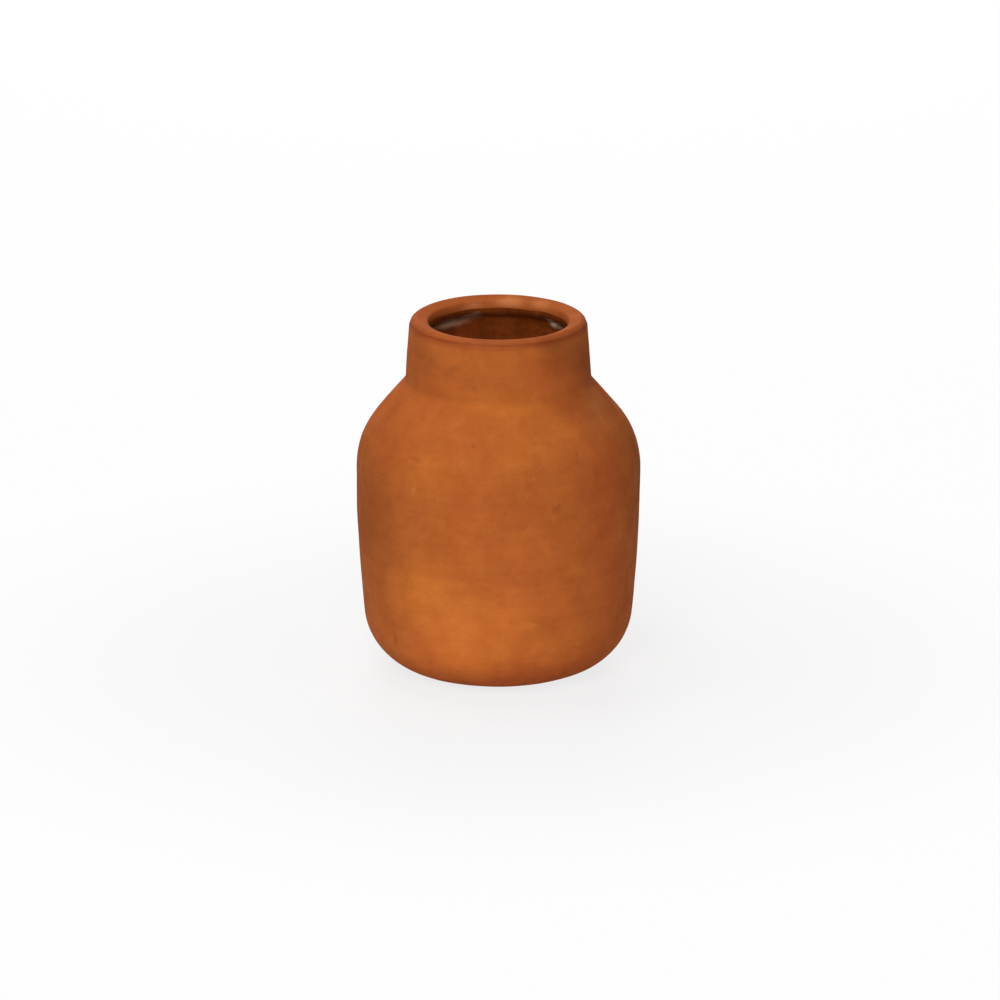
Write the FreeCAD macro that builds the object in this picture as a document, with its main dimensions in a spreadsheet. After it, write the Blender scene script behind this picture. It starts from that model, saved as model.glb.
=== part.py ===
"""Terracotta floor vase: five thrown sections luted together at V seams, a glaze lining and felt pads.

Every clay section is a half section turned about the vase's axis. Heights are measured from the clay's
underside, and each clay piece is then lifted by the thickness of the felt pads that the vase stands on.
"""

import FreeCAD, Part
import enum
import math
import os
import Sketcher

# Driving dimensions, in millimetres
SIZES = [
    ("base_rise", "72", "clay's underside to the seam between base and belly"),
    ("belly_rise", "102.5", "that seam to the widest line"),
    ("shoulder_rise", "76.3", "widest line to the crisp corner under the neck"),
    ("neck_rise", "26.2", "that corner to the seam between neck and lip"),
    ("lip_rise", "28.5", "that seam to the top of the lip's round section"),
    ("belly_radius", "120", "outside, at the widest line"),
    ("belly_curve", "1260", "radius of the wall's long bulge below the widest line"),
    ("shoulder_curve", "75", "radius of the shoulder above the widest line"),
    ("corner_curve", "52.5", "radius of the rounded bottom edge"),
    ("neck_radius", "78.8", "outside, where the neck stands on the shoulder"),
    ("neck_taper", "3.5", "how far the outside of the lip lies inside the neck's foot"),
    ("lip_roll", "8.3", "radius of the lip's round section"),
    ("lip_hollow", "4", "radius of the hollow between the lip and the inside of the neck"),
    ("press_in", "2.1", "middle of the lip's pressed top, inward from the centre of the round section"),
    ("press_drop", "1.83", "that middle, below the top of the round section"),
    ("line_drop", "4.6", "tooled line round the lip, below the top of the round section"),
    ("line_radius", "2", "radius of the tool that cut the line"),
    ("line_depth", "0.7", "depth of the line"),
    ("wall", "9", "thickness of the base, belly and shoulder walls"),
    ("neck_wall", "9", "level thickness of the neck"),
    ("floor_thickness", "12", "clay under the inside of the base"),
    ("seam_depth", "3", "depth of the V in each seam"),
    ("recess_radius", "32", "turned recess under the foot"),
    ("recess_depth", "2.5", "depth of that recess"),
    ("recess_slope", "2", "how far its sloping edge leans in"),
    ("glaze", "0.8", "thickness of the glaze"),
    ("pad_radius", "9", "felt pad"),
    ("pad_thickness", "2", "felt pad"),
    ("pad_edge", "0.5", "rounding of the felt pad's lower edge"),
    ("pad_circle", "46", "radius of the circle that the pads stand on"),
]
PAD_COUNT = 4
FIRST_PAD_ANGLE = 45.0
FULL_TURN = 360.0

# Heights above the clay's underside, as sums of sizes
BASE_SEAM = "base_rise"
WIDEST = f"{BASE_SEAM} + belly_rise"
NECK_FOOT = f"{WIDEST} + shoulder_rise"
LIP_SEAM = f"{NECK_FOOT} + neck_rise"
TOP = f"{LIP_SEAM} + lip_rise"
ROLL_HEIGHT = f"{TOP} - lip_roll"

# Distances from the vase's axis, as sums of sizes
ROLL_RADIUS = "neck_radius - neck_taper - lip_roll"
NECK_BORE = "neck_radius - neck_wall"
SHOULDER_MIDDLE = "belly_radius - shoulder_curve"


class Spot(enum.IntEnum):
    """Sketcher's numbers for the points of an edge."""

    START = 1
    END = 2
    CENTRE = 3


class Axis(enum.IntEnum):
    """Sketcher's numbers for a sketch's own axes."""

    LEVEL = -1
    UPRIGHT = -2


START, END, CENTRE = Spot
ORIGIN = (Axis.LEVEL, START)

doc = FreeCAD.newDocument("terracotta_vase")


def make_sheet():
    """The spreadsheet that drives every piece."""
    sheet = doc.addObject("Spreadsheet::Sheet", "dims")
    for row, (alias, number, note) in enumerate(SIZES, start=1):
        sheet.set(f"A{row}", alias)
        sheet.set(f"B{row}", number)
        sheet.set(f"C{row}", note)
        sheet.setAlias(f"B{row}", alias)
    doc.recompute()
    return sheet


sheet = make_sheet()
size = {alias: float(sheet.get(alias)) for alias, _, _ in SIZES}


def total(words):
    """The value of a sum of sizes, such as 'belly_curve - wall'."""
    sign, value = 1, 0.0
    for word in words.split():
        if word in "+-":
            sign = -1 if word == "-" else 1
        else:
            value += sign * size[word]
    return value


def formula(words):
    """The same sum as an expression over the sheet's cells."""
    return " ".join(word if word in "+-" else f"dims.{word}" for word in words.split())


def flat(place):
    """A (radius, height) pair as a sketch point."""
    return FreeCAD.Vector(place[0], place[1], 0)


def along(centre, radius, angle):
    """The point at that radius and angle from a centre."""
    return centre[0] + radius * math.cos(angle), centre[1] + radius * math.sin(angle)


class HalfSection:
    """A closed sketch in a body's XZ plane, drawn edge by edge as radius and height, then dimensioned."""

    def __init__(self, body, name="section"):
        self.sketch = body.newObject("Sketcher::SketchObject", f"{body.Label}_{name}")
        upright = next(p for p in body.Origin.OriginFeatures if p.Role == "XZ_Plane")
        self.sketch.AttachmentSupport = [(upright, "")]
        self.sketch.MapMode = "FlatFace"
        self.edges = []

    def line(self, start, end, smooth=False):
        """A straight edge; smooth says that it leaves the edge before it tangentially."""
        edge = self.sketch.addGeometry(Part.LineSegment(flat(start), flat(end)), False)
        self.edges.append((edge, START, END, smooth))
        return edge

    def arc(self, centre, start, end, clockwise=False, smooth=False):
        """A round edge about centre, anticlockwise unless clockwise is set."""
        first, last = (end, start) if clockwise else (start, end)
        angles = [math.atan2(p[1] - centre[1], p[0] - centre[0]) for p in (first, last)]
        if angles[1] < angles[0]:
            angles[1] += 2 * math.pi
        circle = Part.Circle(flat(centre), FreeCAD.Vector(0, 0, 1), math.dist(centre, start))
        edge = self.sketch.addGeometry(Part.ArcOfCircle(circle, *angles), False)
        self.edges.append((edge, *((END, START) if clockwise else (START, END)), smooth))
        return edge

    def vee(self, start, end, height):
        """Two straight edges between points at one height that dip to the seam's depth halfway."""
        dip = ((start[0] + end[0]) / 2, total(height) - size["seam_depth"])
        down, up = self.line(start, dip), self.line(dip, end)
        self.tie("Equal", down, up)
        self.set_height(down, START, height)
        self.set_height(down, END, f"{height} - seam_depth")
        self.set_height(up, END, height)
        return down, up

    def guide(self, curve):
        """A construction curve or point that edges can touch or aim at."""
        return self.sketch.addGeometry(curve, True)

    def close(self):
        """Joins each edge to the one before it, and the first edge to the last."""
        for i, (edge, first, _, smooth) in enumerate(self.edges):
            before, _, last, _ = self.edges[i - 1]
            self.tie("Tangent" if smooth else "Coincident", before, last, edge, first)

    def tie(self, kind, *where):
        """A geometric constraint."""
        self.sketch.addConstraint(Sketcher.Constraint(kind, *where))

    def dimension(self, kind, *where, words):
        """A dimension that follows a sum of the sheet's sizes."""
        index = self.sketch.addConstraint(Sketcher.Constraint(kind, *where, total(words)))
        self.sketch.setExpression(f"Constraints[{index}]", formula(words))

    def set_radius(self, edge, point, words):
        """How far a point lies from the vase's axis."""
        self.dimension("DistanceX", *ORIGIN, edge, point, words=words)

    def set_height(self, edge, point, words):
        """How far a point lies above the clay's underside."""
        self.dimension("DistanceY", *ORIGIN, edge, point, words=words)

    def set_curve(self, edge, words):
        """An arc's or circle's own radius."""
        self.dimension("Radius", edge, words=words)

    def centre_on_belly(self, edge):
        """Puts an arc's centre far behind the axis, level with the widest line."""
        self.dimension("DistanceX", edge, CENTRE, *ORIGIN, words="belly_curve - belly_radius")
        self.set_height(edge, CENTRE, WIDEST)

    def centre_on_shoulder(self, edge):
        """Puts an arc's centre where the shoulder is struck from."""
        self.set_radius(edge, CENTRE, SHOULDER_MIDDLE)
        self.set_height(edge, CENTRE, WIDEST)

    def turn(self, body, feature="PartDesign::Revolution", name="turned"):
        """Turns the closed section once round the vase's axis, as clay or as a cut."""
        turned = body.newObject(feature, f"{body.Label}_{name}")
        turned.Profile = self.sketch
        turned.ReferenceAxis = (self.sketch, ["V_Axis"])
        turned.Angle = FULL_TURN
        self.sketch.Visibility = False


# Where the outline's curves meet, which is where the sketches start from

BELLY_CENTRE = (total("belly_radius - belly_curve"), total(WIDEST))
SHOULDER_CENTRE = (total(SHOULDER_MIDDLE), total(WIDEST))
ROLL_CENTRE = (total(ROLL_RADIUS), total(ROLL_HEIGHT))
NECK_ROOT = (size["neck_radius"], total(NECK_FOOT))


def touching_angle(centre, radius, point):
    """The angle at which the line from an outside point touches a circle, on the side away from the axis."""
    toward = math.atan2(point[1] - centre[1], point[0] - centre[0])
    lean = math.acos(radius / math.dist(centre, point))
    return toward - lean if point[1] > centre[1] else toward + lean


SLOPE_ANGLE = touching_angle(SHOULDER_CENTRE, size["shoulder_curve"], NECK_ROOT)
NECK_ANGLE = touching_angle(ROLL_CENTRE, size["lip_roll"], NECK_ROOT)


def wall_at(height, inset=0.0):
    """The point of the belly's long curve at a height, moved in by inset."""
    curve = size["belly_curve"] - inset
    reach = math.sqrt(curve**2 - (height - BELLY_CENTRE[1]) ** 2)
    return BELLY_CENTRE[0] + reach, height


def corner_at(level, inset=0.0):
    """Centre of the arc that turns the belly's curve into a level floor, and the point where they meet."""
    height = level + size["corner_curve"] - inset
    reach = total("belly_curve - corner_curve")
    angle = math.asin((height - BELLY_CENTRE[1]) / reach)
    return along(BELLY_CENTRE, reach, angle), along(BELLY_CENTRE, size["belly_curve"] - inset, angle)


def slope_meets(radius, inset):
    """The point of the shoulder's straight slope, moved in by inset, at a distance from the axis."""
    touch = along(SHOULDER_CENTRE, size["shoulder_curve"] - inset, SLOPE_ANGLE)
    return radius, touch[1] + (touch[0] - radius) / math.tan(SLOPE_ANGLE)


def neck_at(height, inset=0.0):
    """The point of the neck's straight side at a height, moved in level by inset."""
    return NECK_ROOT[0] - (height - NECK_ROOT[1]) * math.tan(NECK_ANGLE) - inset, height


def hollow_at(coat=0.0):
    """Centre of the hollow under the lip, and its ends on the neck and on the lip, coat off the clay."""
    bore_top = neck_at(total(NECK_FOOT), size["neck_wall"])
    outward = (math.cos(NECK_ANGLE), math.sin(NECK_ANGLE))
    past_bore = sum((a - b) * c for a, b, c in zip(ROLL_CENTRE, bore_top, outward))
    reach = total("lip_roll + lip_hollow")
    angle = NECK_ANGLE - math.acos(-(size["lip_hollow"] + past_bore) / reach)
    centre = along(ROLL_CENTRE, reach, angle)
    radius = size["lip_hollow"] - coat
    return centre, along(centre, radius, NECK_ANGLE), along(centre, radius, angle + math.pi)


def new_body(label):
    """An empty body for one piece, standing on the felt pads."""
    body = doc.addObject("PartDesign::Body", label)
    body.Label = label
    body.setExpression("Placement.Base.z", formula("pad_thickness"))
    return body


def guide_neck_side(section):
    """Construction lines for the neck's side: from its root it touches the lip's round section."""
    roll = section.guide(Part.Circle(flat(ROLL_CENTRE), FreeCAD.Vector(0, 0, 1), size["lip_roll"]))
    section.set_radius(roll, CENTRE, ROLL_RADIUS)
    section.set_height(roll, CENTRE, ROLL_HEIGHT)
    section.set_curve(roll, "lip_roll")
    touch = along(ROLL_CENTRE, size["lip_roll"], NECK_ANGLE)
    side = section.guide(Part.LineSegment(flat(NECK_ROOT), flat(touch)))
    section.set_radius(side, START, "neck_radius")
    section.set_height(side, START, NECK_FOOT)
    section.tie("Tangent", side, END, roll)
    return side


def guide_shoulder_slope(section):
    """Construction lines for the shoulder's slope: from the neck's root it touches the shoulder's curve."""
    curve = section.guide(Part.Circle(flat(SHOULDER_CENTRE), FreeCAD.Vector(0, 0, 1), size["shoulder_curve"]))
    section.centre_on_shoulder(curve)
    section.set_curve(curve, "shoulder_curve")
    touch = along(SHOULDER_CENTRE, size["shoulder_curve"], SLOPE_ANGLE)
    slope = section.guide(Part.LineSegment(flat(touch), flat(NECK_ROOT)))
    section.set_radius(slope, END, "neck_radius")
    section.set_height(slope, END, NECK_FOOT)
    section.tie("Tangent", slope, START, curve)
    return slope


def make_base():
    """Base dish: floor, rounded bottom edge, turned recess underneath and a V groove in the rim."""
    body = new_body("base_dish")
    section = HalfSection(body)
    rim = total(BASE_SEAM)
    outer_corner, outer_leave = corner_at(0.0)
    inner_corner, inner_leave = corner_at(size["floor_thickness"], size["wall"])
    recess_top = (total("recess_radius - recess_slope"), size["recess_depth"])
    recess_rim = (size["recess_radius"], 0.0)
    foot_rim = (outer_corner[0], 0.0)
    floor_rim = (inner_corner[0], size["floor_thickness"])

    recess = section.line((0.0, size["recess_depth"]), recess_top)
    recess_edge = section.line(recess_top, recess_rim)
    foot = section.line(recess_rim, foot_rim)
    corner = section.arc(outer_corner, foot_rim, outer_leave, smooth=True)
    belly = section.arc(BELLY_CENTRE, outer_leave, wall_at(rim), smooth=True)
    section.vee(wall_at(rim), wall_at(rim, size["wall"]), BASE_SEAM)
    inner_belly = section.arc(BELLY_CENTRE, wall_at(rim, size["wall"]), inner_leave, clockwise=True)
    inner_edge = section.arc(inner_corner, inner_leave, floor_rim, clockwise=True, smooth=True)
    inside = section.line(floor_rim, (0.0, size["floor_thickness"]), smooth=True)
    axis = section.line((0.0, size["floor_thickness"]), (0.0, size["recess_depth"]))
    section.close()

    for level in (recess, foot, inside):
        section.tie("Horizontal", level)
    section.tie("PointOnObject", axis, START, Axis.UPRIGHT)
    section.tie("PointOnObject", axis, END, Axis.UPRIGHT)
    section.set_height(axis, END, "recess_depth")
    section.set_radius(recess, END, "recess_radius - recess_slope")
    section.set_radius(recess_edge, END, "recess_radius")
    section.tie("PointOnObject", recess_edge, END, Axis.LEVEL)
    section.set_curve(corner, "corner_curve")
    section.centre_on_belly(belly)
    section.set_curve(belly, "belly_curve")
    section.tie("Coincident", inner_belly, CENTRE, belly, CENTRE)
    section.set_curve(inner_belly, "belly_curve - wall")
    section.set_curve(inner_edge, "corner_curve - wall")
    section.set_height(axis, START, "floor_thickness")
    section.turn(body)
    return body


def make_belly():
    """Belly wall: the bellied ring between the base and the widest line."""
    body = new_body("belly_wall")
    section = HalfSection(body)
    foot, top = total(BASE_SEAM), total(WIDEST)
    outer_top, inner_top = wall_at(top), wall_at(top, size["wall"])
    outer_foot, inner_foot = wall_at(foot), wall_at(foot, size["wall"])

    outside = section.arc(BELLY_CENTRE, outer_foot, outer_top)
    section.vee(outer_top, inner_top, WIDEST)
    inside = section.arc(BELLY_CENTRE, inner_top, inner_foot, clockwise=True)
    section.vee(inner_foot, outer_foot, BASE_SEAM)
    section.close()

    section.centre_on_belly(outside)
    section.set_curve(outside, "belly_curve")
    section.tie("Coincident", inside, CENTRE, outside, CENTRE)
    section.set_curve(inside, "belly_curve - wall")
    section.turn(body)
    return body


def make_shoulder():
    """Shoulder dome: the round turn and straight slope from the widest line to the neck."""
    body = new_body("shoulder_dome")
    section = HalfSection(body)
    outer_foot = (size["belly_radius"], total(WIDEST))
    inner_foot = (total("belly_radius - wall"), total(WIDEST))
    outer_touch = along(SHOULDER_CENTRE, size["shoulder_curve"], SLOPE_ANGLE)
    inner_touch = along(SHOULDER_CENTRE, total("shoulder_curve - wall"), SLOPE_ANGLE)
    mouth = total(NECK_BORE)
    mouth_top, mouth_foot = (mouth, total(NECK_FOOT)), slope_meets(mouth, size["wall"])

    outer_turn = section.arc(SHOULDER_CENTRE, outer_foot, outer_touch)
    outer_slope = section.line(outer_touch, NECK_ROOT, smooth=True)
    top = section.vee(NECK_ROOT, mouth_top, NECK_FOOT)
    land = section.line(mouth_top, mouth_foot)
    inner_slope = section.line(mouth_foot, inner_touch)
    inner_turn = section.arc(SHOULDER_CENTRE, inner_touch, inner_foot, clockwise=True, smooth=True)
    section.vee(inner_foot, outer_foot, WIDEST)
    section.close()

    section.centre_on_shoulder(outer_turn)
    section.set_curve(outer_turn, "shoulder_curve")
    section.set_radius(top[0], START, "neck_radius")
    section.set_radius(land, START, NECK_BORE)
    section.tie("Vertical", land)
    section.tie("Parallel", inner_slope, outer_slope)
    section.tie("Coincident", inner_turn, CENTRE, outer_turn, CENTRE)
    section.set_curve(inner_turn, "shoulder_curve - wall")
    section.turn(body)
    return body


def make_neck():
    """Neck collar: the short tapered ring that stands on the shoulder."""
    body = new_body("neck_collar")
    section = HalfSection(body)
    foot, top = total(NECK_FOOT), total(LIP_SEAM)
    outer_top, inner_top = neck_at(top), neck_at(top, size["neck_wall"])
    inner_foot = neck_at(foot, size["neck_wall"])

    outside = section.line(NECK_ROOT, outer_top)
    section.vee(outer_top, inner_top, LIP_SEAM)
    inside = section.line(inner_top, inner_foot)
    section.vee(inner_foot, NECK_ROOT, NECK_FOOT)
    section.close()

    side = guide_neck_side(section)
    section.set_radius(outside, START, "neck_radius")
    section.tie("Parallel", outside, side)
    section.tie("Parallel", inside, side)
    section.set_radius(inside, END, NECK_BORE)
    section.turn(body)
    return body


def make_lip():
    """Lip ring: the rolled lip on its short stem, with a tongue that seats in the neck's groove."""
    body = new_body("lip_ring")
    section = HalfSection(body)
    seam = total(LIP_SEAM)
    outer_foot, inner_foot = neck_at(seam), neck_at(seam, size["neck_wall"])
    outer_touch = along(ROLL_CENTRE, size["lip_roll"], NECK_ANGLE)
    hollow_centre, hollow_foot, hollow_top = hollow_at()

    outside = section.line(outer_foot, outer_touch)
    bead = section.arc(ROLL_CENTRE, outer_touch, hollow_top, smooth=True)
    hollow = section.arc(hollow_centre, hollow_top, hollow_foot, clockwise=True, smooth=True)
    inside = section.line(hollow_foot, inner_foot, smooth=True)
    section.vee(inner_foot, outer_foot, LIP_SEAM)
    section.close()

    section.set_radius(bead, CENTRE, ROLL_RADIUS)
    section.set_height(bead, CENTRE, ROLL_HEIGHT)
    section.set_curve(bead, "lip_roll")
    section.set_curve(hollow, "lip_hollow")
    root = section.guide(Part.Point(flat(NECK_ROOT)))
    section.set_radius(root, START, "neck_radius")
    section.set_height(root, START, NECK_FOOT)
    section.tie("PointOnObject", root, START, outside)
    section.tie("Parallel", inside, outside)
    section.dimension("DistanceX", inside, END, outside, START, words="neck_wall")
    section.turn(body)
    press_lip_top(body)
    cut_lip_line(body)
    return body


def press_lip_top(body):
    """The flat that a finger presses on top of the turning lip; it leans towards the inside."""
    cut = HalfSection(body, "press_section")
    rise, half = total("lip_roll - press_drop"), size["lip_roll"]
    lean = math.atan(size["press_in"] / rise)
    middle = (ROLL_CENTRE[0] - size["press_in"], ROLL_CENTRE[1] + rise)
    inner_low, outer_low = along(middle, half, lean + math.pi), along(middle, half, lean)
    inner_high, outer_high = (along(low, half, lean + math.pi / 2) for low in (inner_low, outer_low))

    pressed = cut.line(inner_low, outer_low)
    outer = cut.line(outer_low, outer_high)
    upper = cut.line(outer_high, inner_high)
    inner = cut.line(inner_high, inner_low)
    cut.close()

    arm = cut.guide(Part.LineSegment(flat(ROLL_CENTRE), flat(middle)))
    cut.set_radius(arm, START, ROLL_RADIUS)
    cut.set_height(arm, START, ROLL_HEIGHT)
    cut.dimension("DistanceX", arm, END, arm, START, words="press_in")
    cut.dimension("DistanceY", arm, START, arm, END, words="lip_roll - press_drop")
    cut.tie("Symmetric", pressed, START, pressed, END, arm, END)
    cut.tie("Perpendicular", pressed, arm)
    cut.dimension("Distance", pressed, words="lip_roll + lip_roll")
    cut.tie("Perpendicular", outer, pressed)
    cut.dimension("Distance", outer, words="lip_roll")
    cut.tie("Parallel", upper, pressed)
    cut.tie("Parallel", inner, outer)
    cut.turn(body, "PartDesign::Groove", "press")


def cut_lip_line(body):
    """The shallow line that the potter's tool leaves round the outer side of the lip."""
    cut = HalfSection(body, "line_section")
    reach = total("lip_roll + line_radius - line_depth")
    rise = total("lip_roll - line_drop")
    place = along(ROLL_CENTRE, reach, math.asin(rise / reach))
    tool = Part.Circle(flat(place), FreeCAD.Vector(0, 0, 1), size["line_radius"])
    groove = cut.sketch.addGeometry(tool, False)
    arm = cut.guide(Part.LineSegment(flat(ROLL_CENTRE), flat(place)))
    cut.set_curve(groove, "line_radius")
    cut.set_radius(arm, START, ROLL_RADIUS)
    cut.set_height(arm, START, ROLL_HEIGHT)
    cut.tie("Coincident", arm, END, groove, CENTRE)
    cut.dimension("Distance", arm, words="lip_roll + line_radius - line_depth")
    cut.set_height(groove, CENTRE, f"{TOP} - line_drop")
    cut.turn(body, "PartDesign::Groove", "line")


def glaze_face(section, coat, outward):
    """One face of the glaze, coat above the clay, from the axis up to the lip's inner side, or back."""
    inset = size["wall"] + coat
    level = size["floor_thickness"] + coat
    bore = total(NECK_BORE) - coat
    corner, leave = corner_at(level, inset)
    widest = (size["belly_radius"] - inset, total(WIDEST))
    touch = along(SHOULDER_CENTRE, size["shoulder_curve"] - inset, SLOPE_ANGLE)
    bore_foot, bore_top = slope_meets(bore, inset), (bore, total(NECK_FOOT))
    hollow, hollow_foot, hollow_top = hollow_at(coat)
    middle = (0.0, level)
    floor_rim = (corner[0], level)
    brink = along(ROLL_CENTRE, size["lip_roll"] + coat, math.pi)
    stops = [middle, floor_rim, leave, widest, touch, bore_foot, bore_top, hollow_foot, hollow_top, brink]
    centres = [None, corner, BELLY_CENTRE, SHOULDER_CENTRE, None, None, None, hollow, ROLL_CENTRE]
    smooth_starts = [False, True, True, True, True, False, False, True, True]
    spans = list(zip(stops, stops[1:], centres))
    if not outward:
        spans = [(end, start, centre) for start, end, centre in reversed(spans)]
        smooth_starts = [False] + smooth_starts[:0:-1]
    made = []
    for (start, end, centre), smooth in zip(spans, smooth_starts):
        if centre is None:
            made.append(section.line(start, end, smooth))
        else:
            round_the_lip = centre is ROLL_CENTRE
            made.append(section.arc(centre, start, end, outward == round_the_lip, smooth))
    return made if outward else made[::-1]


def dimension_glaze_face(section, edges, coat, slope, side, far_end):
    """Ties one face of the glaze to the clay's sizes; far_end is the edges' end away from the axis."""
    less, more = (f" - {coat}", f" + {coat}") if coat else ("", "")
    level, corner, belly, shoulder, incline, land, neck, hollow, underside = edges
    section.tie("Horizontal", level)
    section.set_height(level, far_end, "floor_thickness" + more)
    section.set_curve(corner, "corner_curve - wall" + less)
    section.centre_on_belly(belly)
    section.set_curve(belly, "belly_curve - wall" + less)
    section.centre_on_shoulder(shoulder)
    section.tie("Parallel", incline, slope)
    section.tie("Vertical", land)
    section.set_height(land, far_end, NECK_FOOT)
    section.set_radius(land, far_end, NECK_BORE + less)
    section.tie("Parallel", neck, side)
    section.set_curve(hollow, "lip_hollow" + less)
    section.set_radius(underside, CENTRE, ROLL_RADIUS)
    section.set_height(underside, CENTRE, ROLL_HEIGHT)
    section.set_curve(underside, "lip_roll" + more)
    section.set_height(underside, START, ROLL_HEIGHT)


def make_glaze():
    """Glaze lining: the thin coat on the inside of every clay section, up to the lip's innermost line."""
    body = new_body("glaze_lining")
    section = HalfSection(body)
    on_clay = glaze_face(section, 0.0, outward=True)
    section.line(*(along(ROLL_CENTRE, size["lip_roll"] + coat, math.pi) for coat in (0.0, size["glaze"])))
    showing = glaze_face(section, size["glaze"], outward=False)
    axis = section.line((0.0, total("floor_thickness + glaze")), (0.0, size["floor_thickness"]))
    section.close()

    slope = guide_shoulder_slope(section)
    side = guide_neck_side(section)
    dimension_glaze_face(section, on_clay, "", slope, side, END)
    dimension_glaze_face(section, showing, "glaze", slope, side, START)
    section.tie("PointOnObject", axis, START, Axis.UPRIGHT)
    section.tie("PointOnObject", axis, END, Axis.UPRIGHT)
    section.turn(body)
    return body


def make_pad(number):
    """Felt pad: a flat disc with a softened lower edge, stuck to the foot."""
    body = doc.addObject("PartDesign::Body", f"felt_pad_{number}")
    body.Label = f"felt_pad_{number}"
    level = next(p for p in body.Origin.OriginFeatures if p.Role == "XY_Plane")
    outline = body.newObject("Sketcher::SketchObject", f"{body.Label}_outline")
    outline.AttachmentSupport = [(level, "")]
    outline.MapMode = "FlatFace"
    disc = outline.addGeometry(
        Part.Circle(FreeCAD.Vector(0, 0, 0), FreeCAD.Vector(0, 0, 1), size["pad_radius"]), False
    )
    outline.addConstraint(Sketcher.Constraint("Coincident", disc, CENTRE, *ORIGIN))
    radius = outline.addConstraint(Sketcher.Constraint("Radius", disc, size["pad_radius"]))
    outline.setExpression(f"Constraints[{radius}]", formula("pad_radius"))
    felt = body.newObject("PartDesign::Pad", f"{body.Label}_felt")
    felt.Profile = outline
    felt.setExpression("Length", formula("pad_thickness"))
    doc.recompute()
    edges = enumerate(felt.Shape.Edges, start=1)
    lower = [f"Edge{i}" for i, edge in edges if edge.BoundBox.ZMax < size["pad_edge"]]
    softened = body.newObject("PartDesign::Fillet", f"{body.Label}_softened")
    softened.Base = (felt, lower)
    softened.setExpression("Radius", formula("pad_edge"))
    angle = FIRST_PAD_ANGLE + (number - 1) * FULL_TURN / PAD_COUNT
    body.setExpression("Placement.Base.x", f"{formula('pad_circle')} * cos({angle} deg)")
    body.setExpression("Placement.Base.y", f"{formula('pad_circle')} * sin({angle} deg)")
    return body


def check(bodies):
    """Stops the build if an object failed, a sketch is loose or a piece is not one valid solid."""
    failed = [o.Label for o in doc.Objects if {"Invalid", "Error"} & set(o.State)]
    if failed:
        raise RuntimeError(f"these objects failed: {failed}")
    for sketch in doc.findObjects("Sketcher::SketchObject"):
        if sketch.solve() or not sketch.FullyConstrained:
            raise RuntimeError(f"{sketch.Label} isn't fully constrained")
    for body in bodies:
        shape = body.Shape
        if shape.isNull() or not shape.isValid() or len(shape.Solids) != 1:
            raise RuntimeError(f"{body.Label} isn't one valid solid")


def main():
    bodies = [make_base(), make_belly(), make_shoulder(), make_neck(), make_lip(), make_glaze()]
    bodies += [make_pad(number) for number in range(1, PAD_COUNT + 1)]
    doc.recompute()
    check(bodies)
    os.makedirs("parts", exist_ok=True)
    for body in bodies:
        body.Shape.exportStep(f"parts/{body.Label}.step")
        box = body.Shape.BoundBox
        print(f"{body.Label}: {body.Shape.Volume / 1000:.1f} cm3, height {box.ZMin:.2f} to {box.ZMax:.2f} mm")


main()
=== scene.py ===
# %% [markdown]
# # A terracotta floor vase
# A potter throws a vase of this size in sections, joins them while the clay is leather hard, wipes the outside
# smooth and glazes only the inside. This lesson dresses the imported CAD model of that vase. The CAD gives each
# piece its place and its size. Here each piece gets the skin that a hand and a kiln leave on it.

# %% Load the frame
import math

import bpy
import numpy as np
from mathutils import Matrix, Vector


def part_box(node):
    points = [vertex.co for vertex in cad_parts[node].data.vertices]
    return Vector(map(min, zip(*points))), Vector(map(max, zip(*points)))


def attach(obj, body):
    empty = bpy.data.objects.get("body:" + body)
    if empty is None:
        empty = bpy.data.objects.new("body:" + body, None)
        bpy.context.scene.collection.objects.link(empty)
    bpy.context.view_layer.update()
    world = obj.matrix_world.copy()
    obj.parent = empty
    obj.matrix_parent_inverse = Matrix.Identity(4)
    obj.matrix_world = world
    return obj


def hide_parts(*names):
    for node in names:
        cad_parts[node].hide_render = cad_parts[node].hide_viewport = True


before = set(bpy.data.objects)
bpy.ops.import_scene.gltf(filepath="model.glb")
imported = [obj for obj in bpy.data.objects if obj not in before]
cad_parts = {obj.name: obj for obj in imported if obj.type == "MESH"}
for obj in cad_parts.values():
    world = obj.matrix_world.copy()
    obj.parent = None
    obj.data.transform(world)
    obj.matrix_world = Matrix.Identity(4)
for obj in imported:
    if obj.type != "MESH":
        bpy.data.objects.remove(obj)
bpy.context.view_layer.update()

# %% [markdown]
# ## Heights and curves
# The seams between the sections are read from the frame, so every skin starts and stops where its CAD piece
# does. The frame doesn't say how the curves between the seams run, so their sizes are written down here, in
# metres.

# %% Read the seams and name the curves
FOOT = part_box("base_dish")[0].z
BASE_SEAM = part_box("base_dish")[1].z
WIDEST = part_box("belly_wall")[1].z
NECK_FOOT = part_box("shoulder_dome")[1].z
LIP_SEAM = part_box("neck_collar")[1].z
LIP_RISE = 0.0285
TOP = LIP_SEAM + LIP_RISE

BELLY_RADIUS = 0.120
BELLY_CURVE = 1.260
SHOULDER_CURVE = 0.075
CORNER_CURVE = 0.0525
NECK_RADIUS = 0.0788
NECK_TAPER = 0.0035
LIP_ROLL = 0.0083
LIP_HOLLOW = 0.004
WALL = 0.009
FLOOR_THICKNESS = 0.012
SEAM_DEPTH = 0.003
RECESS_RADIUS = 0.032
RECESS_DEPTH = 0.0025
RECESS_SLOPE = 0.002
GLAZE = 0.0008
print(f"clay from {FOOT * 1000:.1f} to {TOP * 1000:.1f} mm, seams at",
      [round(z * 1000, 1) for z in (BASE_SEAM, WIDEST, NECK_FOOT, LIP_SEAM)])

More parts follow.
